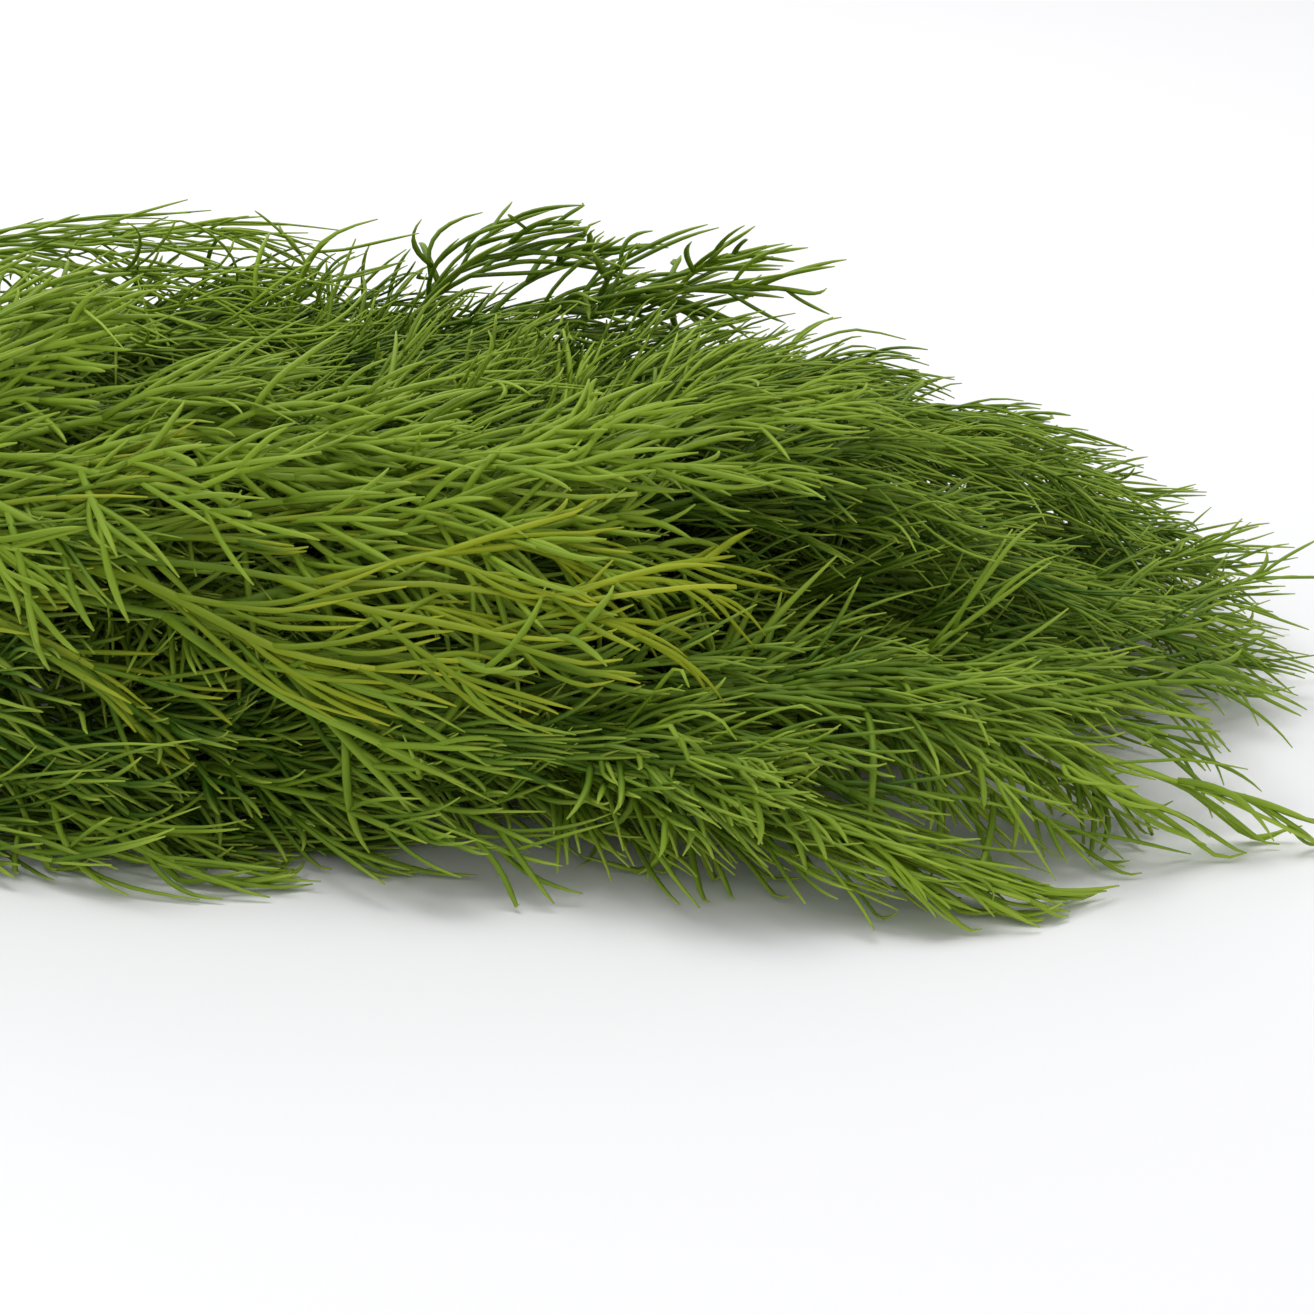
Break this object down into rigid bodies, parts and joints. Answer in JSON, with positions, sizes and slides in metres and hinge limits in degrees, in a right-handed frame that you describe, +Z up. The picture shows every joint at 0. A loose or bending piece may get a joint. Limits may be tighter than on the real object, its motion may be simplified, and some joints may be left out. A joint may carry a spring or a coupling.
{
  "type": "dill bunch",
  "caption": "Bunch of fresh dill lying on its side: thin stalks held by a rubber band, opening into a flat dome of feathery fronds.",
  "frame": {"origin": "on the table under the middle of the bunch, which lies on its side", "axes": "+X along the bunch from the cut ends to the tips, +Z up from the table"},
  "size_m": [0.3, 0.1244, 0.0534],
  "materials": {
    "stalk": "satin",
    "frond": "satin",
    "frond_yellow": "satin",
    "rubber_band": "matte"
  },
  "bodies": {
    "root": {"stalk_01": "stalk", "stalk_02": "stalk", "stalk_03": "stalk", "stalk_04": "stalk", "stalk_05": "stalk", "stalk_06": "stalk", "stalk_07": "stalk", "stalk_08": "stalk", "stalk_09": "stalk", "stalk_10": "stalk", "stalk_11": "stalk", "stalk_12": "stalk", "stalk_13": "stalk", "stalk_14": "stalk", "stalk_15": "stalk", "stalk_16": "stalk", "stalk_17": "stalk", "stalk_18": "stalk", "stalk_19": "stalk", "frond_01": "frond", "frond_02": "frond", "frond_03": "frond", "frond_04": "frond", "frond_05": "frond_yellow", "frond_06": "frond", "frond_07": "frond", "frond_08": "frond", "frond_09": "frond", "frond_10": "frond", "frond_11": "frond", "frond_12": "frond", "frond_13": "frond", "frond_14": "frond", "frond_15": "frond", "frond_16": "frond", "frond_17": "frond", "frond_18": "frond", "frond_19": "frond", "frond_20": "frond", "frond_21": "frond", "frond_22": "frond", "frond_23": "frond", "frond_24": "frond", "frond_25": "frond", "frond_26": "frond", "frond_27": "frond", "frond_28": "frond", "frond_29": "frond", "frond_30": "frond", "frond_31": "frond", "frond_32": "frond", "frond_33": "frond", "frond_34": "frond", "frond_35": "frond", "frond_36": "frond", "frond_37": "frond", "frond_38": "frond", "rubber_band": "rubber_band"}
  },
  "joints": []
}
